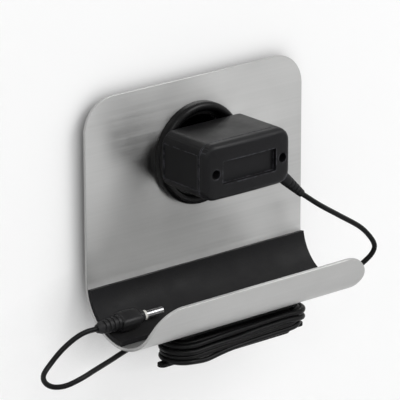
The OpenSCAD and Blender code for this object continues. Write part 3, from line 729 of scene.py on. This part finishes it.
# moulded plastic, rubber, resin and coated bodies
def mouldedFinish(name, colour, rough, grain=2200.0, depth=0.012, spread=0.25, patchy=0.12, dust=0.15,
                  edge=0.3, wearAndHighlightTone=4.0, reach=0.4, coat=0.0, specular=0.5):
    s = mouldedLook
    material, tree, shader, vector = newFinish(name)
    surface = placeEffect(tree, "grain", vector, Scale=grain)
    tone = blend(tree, surface["Patch"], lighter(colour, 1 - spread), lighter(colour, 1 + spread))
    tone = blend(tree, times(tree, surface["Height"], s["grainShare"]), tone,
                 lighter(colour, s["grainTone"]))
    # edges painted lighter: partly rubbed wear, partly a painted highlight
    wornAndHighlightEdges = placeEffect(tree, "edge", vector, Reach=reach * mm)["Mask"]
    tone = blend(tree, times(tree, wornAndHighlightEdges, edge), tone, lighter(colour, wearAndHighlightTone))
    settled = placeEffect(tree, "dust", vector, Amount=dust)["Mask"]
    tone = blend(tree, settled, tone, s["dustTone"])
    roughness = remap(tree, surface["Patch"], 0.0, 1.0, rough - patchy / 2, rough + patchy / 2)
    roughness = math2(tree, "ADD", roughness, times(tree, settled, s["dustRough"]), clamped=True)
    more = {"Specular IOR Level": specular}
    if coat:
        more.update({"Coat Weight": coat, "Coat Roughness": s["coatRough"]})
    setSurface(tree, shader, tone, roughness, surface["Height"], depth, **more)
    return material


metalLook = {
    "patchScale": 900.0, "dark": 0.35, "lineShare": 0.25, "lineTone": 1.25, "rubbedShare": 0.5,
    "rubbedTone": 1.5, "smoother": 0.08, "rougher": 0.12, "lines": (1.0, 3.0, 0.6), "from": 0.4, "to": 1.6,
}


# plated and bare metal pieces, with turning marks round or across them
def metalFinish(name, colour, rough, marks=(900.0, 60.0, 900.0), depth=0.004, tarnish=0.2):
    s = metalLook
    material, tree, shader, vector = newFinish(name)
    lines = noise(tree, stretched(tree, vector, marks), *s["lines"])
    patch = placeEffect(tree, "grain", vector, Scale=s["patchScale"])["Patch"]
    tone = blend(tree, times(tree, patch, tarnish), colour, lighter(colour, s["dark"]))
    tone = blend(tree, times(tree, lines, s["lineShare"]), tone, lighter(colour, s["lineTone"]))
    # edges painted lighter with the same mask: partly rubbed wear, partly a painted highlight
    wornAndHighlightEdges = placeEffect(tree, "edge", vector)["Mask"]
    tone = blend(tree, times(tree, wornAndHighlightEdges, s["rubbedShare"]), tone,
                 lighter(colour, s["rubbedTone"]))
    roughness = remap(tree, math2(tree, "ADD", lines, patch), s["from"], s["to"],
                      rough - s["smoother"], rough + s["rougher"])
    setSurface(tree, shader, tone, roughness, lines, depth, Metallic=1.0)
    return material


steelTone = {
    "light": (0.475, 0.475, 0.47), "dark": (0.385, 0.385, 0.382), "rough": 0.34, "spread": 0.05,
    "anisotropy": 0.82, "lineDepth": 0.0025, "streakShare": 0.25, "streakTone": 1.12, "streakDepth": 0.3,
    "marksScale": 1400.0, "marksRough": 0.05, "dust": 0.1,
}


# stainless sheet, brushed from side to side
def steelFinish(s):
    material, tree, shader, place = newFinish("brushed_steel")
    flat = addNode(tree, "UVMap", uv_map="flat").outputs[0]
    lines = placeEffect(tree, "brush", flat)
    tone = blend(tree, lines["Cloud"], s["dark"], s["light"])
    tone = blend(tree, times(tree, lines["Streak"], s["streakShare"]), tone,
                 lighter(s["light"], s["streakTone"]))
    marks = placeEffect(tree, "grain", place, Scale=s["marksScale"])["Patch"]
    settled = placeEffect(tree, "dust", place, Amount=s["dust"])["Mask"]
    streaky = remap(tree, lines["Streak"], 0.0, 1.0, s["rough"] - s["spread"] / 2,
                    s["rough"] + s["spread"] / 2)
    touched = times(tree, math2(tree, "ADD", marks, settled), s["marksRough"])
    height = math2(tree, "ADD", lines["Height"], times(tree, lines["Streak"], s["streakDepth"]))
    setSurface(tree, shader, tone, math2(tree, "ADD", streaky, touched), height, s["lineDepth"],
               Metallic=1.0, Anisotropic=s["anisotropy"])
    tangent = addNode(tree, "Tangent", direction_type="UV_MAP", uv_map="flat")
    tree.links.new(tangent.outputs[0], shader.inputs["Tangent"])
    return material


boardLook = {
    "trackScale": 260.0, "trackEdge": (0.05, 0.07), "bare": (0.02, 0.12, 0.045),
    "overCopper": (0.05, 0.24, 0.09), "weaveScale": 900.0, "weaveTwist": 0.4, "fibre": (0.35, 0.28, 0.12),
    "resin": (0.5, 0.43, 0.22), "cutSide": 0.5, "patchScale": 900.0, "rough": (0.25, 0.42), "depth": 0.03,
}


# glass-fibre board: green varnish over copper tracks, bare fibre on its cut sides
def boardFinish(s):
    material, tree, shader, vector = newFinish("board_varnish")
    tracks = addNode(tree, "TexVoronoi", {"Vector": vector, "Scale": s["trackScale"]}, distance="CHEBYCHEV",
                     feature="DISTANCE_TO_EDGE").outputs[0]
    copper = remap(tree, tracks, *s["trackEdge"])
    varnish = blend(tree, copper, s["bare"], s["overCopper"])
    wave = {"Vector": vector, "Scale": s["weaveScale"], "Distortion": s["weaveTwist"]}
    cut = blend(tree, addNode(tree, "TexWave", wave).outputs[1], s["fibre"], s["resin"])
    side = math2(tree, "LESS_THAN", absolute(tree, split(tree, trueNormal(tree))[2]), s["cutSide"])
    patch = placeEffect(tree, "grain", vector, Scale=s["patchScale"])["Patch"]
    tone = blend(tree, side, varnish, cut)
    setSurface(tree, shader, tone, remap(tree, patch, 0, 1, *s["rough"]), copper, s["depth"])
    return material


tapeLook = {
    "scale": 75.0, "twist": 1.2, "detail": 2.0, "low": (0.42, 0.24, 0.03), "high": (0.72, 0.48, 0.12),
    "patchScale": 1200.0, "rough": (0.18, 0.36), "depth": 0.05, "coat": 0.4, "coatRough": 0.1,
}


# turns of tape round the middle of the transformer
def tapeFinish(s):
    material, tree, shader, vector = newFinish("amber_tape")
    wave = {"Vector": vector, "Scale": s["scale"], "Distortion": s["twist"], "Detail": s["detail"]}
    turns = addNode(tree, "TexWave", wave, bands_direction="Z").outputs[1]
    tone = blend(tree, turns, s["low"], s["high"])
    patch = placeEffect(tree, "grain", vector, Scale=s["patchScale"])["Patch"]
    setSurface(tree, shader, tone, remap(tree, patch, 0, 1, *s["rough"]), turns, s["depth"],
               **{"Coat Weight": s["coat"], "Coat Roughness": s["coatRough"]})
    return material


canLook = {
    "flatEnd": 0.7, "stripeAt": 0.6, "stripeHalf": 0.4,      # the stripe in radians round the can
    "patchScale": 1100.0, "patchShare": 0.3, "patchTone": 0.5, "metal": (0.62, 0.62, 0.63),
    "rough": (0.2, 0.38), "depth": 0.01,
}


# a capacitor: shrunk sleeve with a pale stripe, bare metal on its flat ends
def canFinish(name, node, colour, stripe):
    s = canLook
    material, tree, shader, vector = newFinish(name)
    low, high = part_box(node)
    middle = [(a + b) / 2 for a, b in zip(low, high)]
    along = max(range(3), key=lambda i: high[i] - low[i])
    across = [i for i in range(3) if i != along]
    centred = addNode(tree, "VectorMath", {0: vector, 1: middle}, operation="SUBTRACT").outputs[0]
    parts = split(tree, centred)
    end = math2(tree, "GREATER_THAN", absolute(tree, split(tree, trueNormal(tree))[along]), s["flatEnd"])
    around = math2(tree, "ARCTAN2", parts[across[0]], parts[across[1]])
    fromStripe = absolute(tree, math2(tree, "ADD", around, -s["stripeAt"]))
    surface = placeEffect(tree, "grain", vector, Scale=s["patchScale"])
    tone = blend(tree, math2(tree, "LESS_THAN", fromStripe, s["stripeHalf"]), colour, stripe)
    tone = blend(tree, times(tree, surface["Patch"], s["patchShare"]), tone, lighter(colour, s["patchTone"]))
    tone = blend(tree, end, tone, s["metal"])
    roughness = remap(tree, surface["Patch"], 0, 1, *s["rough"])
    setSurface(tree, shader, tone, roughness, surface["Height"], s["depth"], Metallic=end)
    return material


bandedLook = {
    "patchScale": 1500.0, "dark": 0.8, "light": 1.2, "smoother": 0.06, "rougher": 0.1, "depth": 0.012,
}


# an axial body with painted bands across it, their places and widths in mm along the body
def bandedFinish(name, node, colour, bands, rough):
    s = bandedLook
    material, tree, shader, vector = newFinish(name)
    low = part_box(node)[0]
    surface = placeEffect(tree, "grain", vector, Scale=s["patchScale"])
    place = split(tree, vector)[1]
    tone = blend(tree, surface["Patch"], lighter(colour, s["dark"]), lighter(colour, s["light"]))
    for at, width, paint in bands:
        near = absolute(tree, math2(tree, "ADD", place, -(low[1] + at * mm)))
        tone = blend(tree, math2(tree, "LESS_THAN", near, width / 2 * mm), tone, paint)
    roughness = remap(tree, surface["Patch"], 0, 1, rough - s["smoother"], rough + s["rougher"])
    setSurface(tree, shader, tone, roughness, surface["Height"], s["depth"])
    return material


silver, gold, brown, violet = (0.55, 0.55, 0.56), (0.6, 0.42, 0.12), (0.12, 0.05, 0.02), (0.2, 0.08, 0.3)
# the housing's strong edge lightening is a painted highlight along its rounded edges, besides rubbed wear
housingLook = {"grain": 2600.0, "spread": 0.2, "dust": 0.03, "edge": 0.9, "wearAndHighlightTone": 14.0, "reach": 1.0}
finishes = {
    "sheet_steel": steelFinish(steelTone),
    "liner_rubber": mouldedFinish("mat_rubber", (0.008, 0.008, 0.0088), 0.6, grain=1500.0, depth=0.03,
                                  spread=0.3, patchy=0.2, dust=0.06, edge=0.35, specular=0.12),
    "collar_plastic": mouldedFinish("collar_gloss", (0.002, 0.002, 0.0022), 0.26, grain=380.0, depth=0.004,
                                    spread=0.15, patchy=0.1, dust=0.01, edge=0.1, specular=0.13),
    "winder_plastic": mouldedFinish("winder_plastic", (0.004, 0.004, 0.0043), 0.5, dust=0.03,
                                    specular=0.12),
    "shell_plastic": mouldedFinish("housing_plastic", (0.0042, 0.0042, 0.0048), 0.38, specular=0.13,
                                   **housingLook),
    "cover_plastic": mouldedFinish("cover_plastic", (0.0055, 0.0055, 0.0063), 0.4, specular=0.14,
                                   **housingLook),
    "sleeve_plastic": mouldedFinish("pin_sleeve_plastic", (0.02, 0.02, 0.022), 0.38, dust=0.0),
    "core_ferrite": mouldedFinish("transformer_ferrite", (0.05, 0.05, 0.056), 0.7, grain=1300.0, depth=0.05,
                                  spread=0.4, dust=0.0, edge=0.6),
    "choke_ferrite": mouldedFinish("choke_ferrite", (0.045, 0.045, 0.05), 0.66, grain=1500.0, depth=0.04,
                                   spread=0.4, dust=0.0, edge=0.6),
    "disc_coating": mouldedFinish("disc_varnish", (0.04, 0.15, 0.42), 0.28, grain=500.0, depth=0.05,
                                  dust=0.0, edge=0.0, coat=0.4),
    "coupler_resin": mouldedFinish("coupler_resin", (0.02, 0.02, 0.022), 0.55, dust=0.0),
    "transistor_resin": mouldedFinish("transistor_resin", (0.018, 0.018, 0.02), 0.58, dust=0.0),
    "output_diode_resin": bandedFinish("output_diode_resin", "output_diode", (0.02, 0.02, 0.022),
                                       [(1.0, 0.7, silver)], 0.4),
    "diode_resin": bandedFinish("diode_resin", "rectifier_diodes", (0.018, 0.018, 0.02),
                                [(0.9, 0.6, silver), (8.3, 0.6, silver)], 0.4),
    "resistor_coating": bandedFinish("resistor_coating", "fuse_resistor", (0.1, 0.26, 0.17),
                                     [(2.0, 0.5, brown), (3.4, 0.5, violet), (4.8, 0.5, gold),
                                      (6.2, 0.5, silver)], 0.5),
    "lead_jacket": mouldedFinish("lead_jacket", (0.36, 0.03, 0.025), 0.34, grain=900.0, depth=0.01,
                                 dust=0.0, edge=0.0),
    "relief_rubber": mouldedFinish("relief_rubber", (0.007, 0.007, 0.0075), 0.5, dust=0.04, specular=0.14),
    "cord_jacket": mouldedFinish("cord_jacket", (0.003, 0.003, 0.0033), 0.38, grain=1300.0, depth=0.015,
                                 spread=0.3, patchy=0.2, dust=0.02, edge=0.0, specular=0.12),
    "boot_rubber": mouldedFinish("boot_rubber", (0.012, 0.012, 0.013), 0.5, dust=0.05, specular=0.2),
    "grip_plastic": mouldedFinish("grip_plastic", (0.013, 0.013, 0.0138), 0.44, dust=0.05, specular=0.2),
    "insulator_plastic": mouldedFinish("insulator_plastic", (0.62, 0.61, 0.57), 0.3, grain=900.0,
                                       depth=0.006, spread=0.06, dust=0.0, edge=0.0),
    "board_laminate": boardFinish(boardLook),
    "coil_tape": tapeFinish(tapeLook),
    "can_sleeve_dark": canFinish("can_sleeve_dark", "input_capacitor", (0.02, 0.022, 0.03),
                                 (0.4, 0.4, 0.42)),
    "can_sleeve_blue": canFinish("can_sleeve_blue", "output_capacitor", (0.02, 0.06, 0.25),
                                 (0.5, 0.52, 0.58)),
    "winder_screw_steel": metalFinish("winder_screw_steel", (0.52, 0.52, 0.53), 0.3),
    "housing_screw_steel": metalFinish("housing_screw_steel", (0.3, 0.3, 0.31), 0.36, tarnish=0.6),
    "pin_metal": metalFinish("pin_plating", (0.68, 0.66, 0.6), 0.22),
    "strip_brass": metalFinish("strip_brass", (0.66, 0.47, 0.2), 0.3, tarnish=0.45),
    "barrel_metal": metalFinish("tip_plating", (0.36, 0.36, 0.365), 0.3, marks=(60.0, 700.0, 700.0),
                                depth=0.0008),
}

for part in frame["record"]["subparts"]:                     # the kept CAD pieces
    for slot in nodes[part["node"]].material_slots:
        slot.material = finishes[part["material_slot"]]
for slotName, piece in pieces.items():
    piece.data.materials.clear()
    piece.data.materials.append(finishes[slotName])
phoneCord.data.materials.append(finishes["cord_jacket"])
print("finishes made:", len(finishes))

# pale wall close behind, pale floor, three lamps, in metres and watts
room = {
    "wallY": -0.0125, "floorZ": -0.35, "size": 3.0, "opening": 0.0195, "openingSteps": 64,
    "tone": 0.91, "cloudScale": 9.0, "cloudTone": 0.985, "glow": 0.62, "worldTone": 0.42,
    "shadeReach": 0.028, "shadeSamples": 16, "shadeDepth": 1.5, "shadeRest": 0.2,
    "shadeTop": (0.02, 0.05), "shadeRight": (0.04, 0.07),    # between these the shade fades out
    "aim": (0, 0, -0.04),
    "key": {"place": (0.75, -1.0, 0.95), "size": 0.9, "power": 12.4},
    "fill": {"place": (-1.1, -1.1, 0.5), "size": 1.2, "power": 1.5},
    "glint": {"place": (-0.45, -1.0, 0.95), "size": 0.25, "power": 2.4},
}


# 1 for the rays that see the room as plain white: from the camera, a glossy surface or a clear one
def seenPlainly(tree):
    path = addNode(tree, "LightPath").outputs
    return math2(tree, "MAXIMUM", path["Is Camera Ray"],
                 math2(tree, "MAXIMUM", path["Is Glossy Ray"], path["Is Transmission Ray"]))


# pale paint, partly of its own plain white, and clear from behind; that white is darkened near the pieces as
# a painted shade, which fades out above and to the right
def paintFinish(r):
    material, tree, shader, vector = newFinish("pale_paint")
    tree.nodes.remove(shader)
    pale = (r["tone"],) * 3
    tone = blend(tree, noise(tree, vector, r["cloudScale"]), lighter(pale, r["cloudTone"]), pale)
    paint = addNode(tree, "BsdfDiffuse", {"Color": tone}).outputs[0]
    near = addNode(tree, "AmbientOcclusion", {"Distance": r["shadeReach"]}, samples=r["shadeSamples"])
    place = split(tree, vector)
    fade = math2(tree, "MINIMUM", remap(tree, place[2], *r["shadeTop"], 1.0, r["shadeRest"]),
                 remap(tree, place[0], *r["shadeRight"], 1.0, r["shadeRest"]))
    shade = math2(tree, "POWER", near.outputs["AO"], times(tree, fade, r["shadeDepth"]))
    light = addNode(tree, "Emission", {"Strength": shade}).outputs[0]
    mix = addNode(tree, "MixShader", {0: times(tree, seenPlainly(tree), r["glow"]), 1: paint, 2: light})
    clear = addNode(tree, "BsdfTransparent").outputs[0]
    behind = addNode(tree, "MixShader", {0: addNode(tree, "NewGeometry").outputs["Backfacing"],
                                         1: mix.outputs[0], 2: clear})
    tree.links.new(behind.outputs[0], tree.nodes["Material Output"].inputs[0])
    return material


# the wall has a round opening for the collar, and starts at the floor
def makeStage(r):
    paint = paintFinish(r)
    half = r["size"] / 2
    for name, place, turn in (("wall", (0, r["wallY"], 0), rad(90)),
                              ("floor", (0, r["wallY"] - half, r["floorZ"]), 0)):
        bm = bmesh.new()
        bmesh.ops.create_grid(bm, x_segments=1, y_segments=1, size=half)
        if name == "wall":
            bmesh.ops.translate(bm, verts=bm.verts, vec=(0, r["floorZ"] + half, 0))
            bmesh.ops.delete(bm, geom=list(bm.faces), context="FACES_ONLY")
            bmesh.ops.create_circle(bm, cap_ends=False, segments=r["openingSteps"], radius=r["opening"])
            bmesh.ops.triangle_fill(bm, use_beauty=True, edges=list(bm.edges), normal=(0, 0, 1))
        upright = Matrix.Translation(place) @ Matrix.Rotation(turn, 4, "X")
        bmesh.ops.transform(bm, verts=bm.verts, matrix=upright)
        plane = addObject(name, meshFrom(name, bm))
        plane.data.materials.append(paint)


# the room beyond wall and floor is plain white to see, and grey where it lights
def lightRoom(r):
    world = bpy.data.worlds.new("pale_room")
    scene.world = world
    world.use_nodes = True
    tree = world.node_tree
    grey = tree.nodes["Background"]
    grey.inputs["Color"].default_value = (r["worldTone"],) * 3 + (1,)
    white = addNode(tree, "Background", {"Color": (1, 1, 1, 1)})
    mix = addNode(tree, "MixShader", {0: seenPlainly(tree), 1: grey.outputs[0], 2: white.outputs[0]})
    tree.links.new(mix.outputs[0], tree.nodes["World Output"].inputs[0])
    for name in ("key", "fill", "glint"):
        data = bpy.data.lights.new(name, "AREA")
        data.shape = "DISK"
        data.size = r[name]["size"]
        data.energy = r[name]["power"]
        lamp = addObject(name, data)
        lamp.location = r[name]["place"]
        lamp.rotation_mode = "QUATERNION"
        lamp.rotation_quaternion = (Vector(r["aim"]) - lamp.location).to_track_quat("-Z", "Y")


makeStage(room)
lightRoom(room)
print("room lit")
